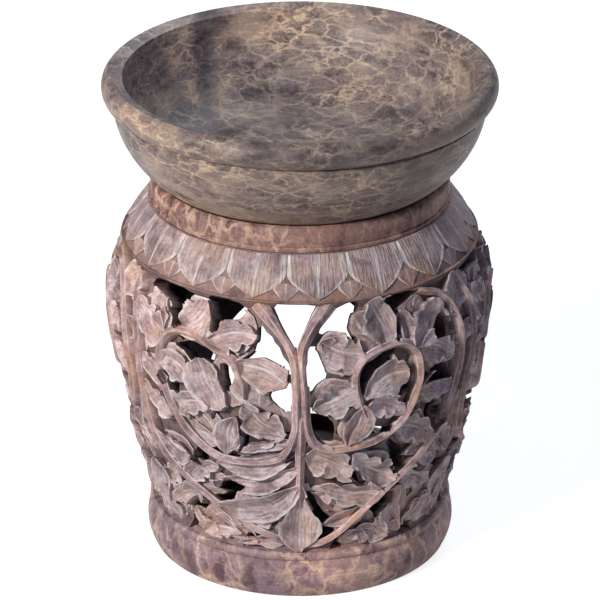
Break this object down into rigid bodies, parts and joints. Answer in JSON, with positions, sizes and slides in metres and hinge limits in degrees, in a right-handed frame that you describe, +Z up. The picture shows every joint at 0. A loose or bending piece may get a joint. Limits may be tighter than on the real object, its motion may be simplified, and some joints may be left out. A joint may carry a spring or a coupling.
{
  "type": "essential oil burner",
  "caption": "Free-standing carved stone oil burner with a pierced floral wall, a rear doorway for a candle and a loose shallow oil bowl seated on its neck.",
  "frame": {"origin": "centre of the burner's footprint, on the surface it stands on", "axes": "+Z up the turning axis; -Y is the carved front; +Y is the doorway for the candle"},
  "size_m": [0.0794, 0.0794, 0.1027],
  "materials": {
    "body_stone": "worn matte soapstone, reddish brown with tan blotches",
    "carved_stone": "dry carved soapstone, dusty mauve brown with chalky edges",
    "bowl_stone": "smooth turned soapstone, dark brown with tan web veins",
    "cup_metal": "thin pressed foil",
    "wax": "dark beeswax",
    "wick_cotton": "charred braided cotton",
    "tab_metal": "pressed tinplate"
  },
  "bodies": {
    "stone_body": {"foot_ring": "body_stone", "front_carved_panel": "carved_stone", "right_carved_panel": "carved_stone", "left_carved_panel": "carved_stone", "petal_shoulder": "carved_stone", "neck_ring": "body_stone"},
    "bowl": {"oil_bowl": "bowl_stone"},
    "tea_light": {"tealight_cup": "cup_metal", "tealight_wax": "wax", "wick": "wick_cotton", "wick_tab": "tab_metal"}
  },
  "joints": [
    {"name": "bowl_lift", "type": "slide", "parent": "stone_body", "child": "bowl", "axis": [0, 0, 1], "range_m": [0, 0.05]},
    {"name": "tea_light_lift", "type": "slide", "parent": "stone_body", "child": "tea_light", "axis": [0, 0, 1], "range_m": [0, 0.008]}
  ]
}
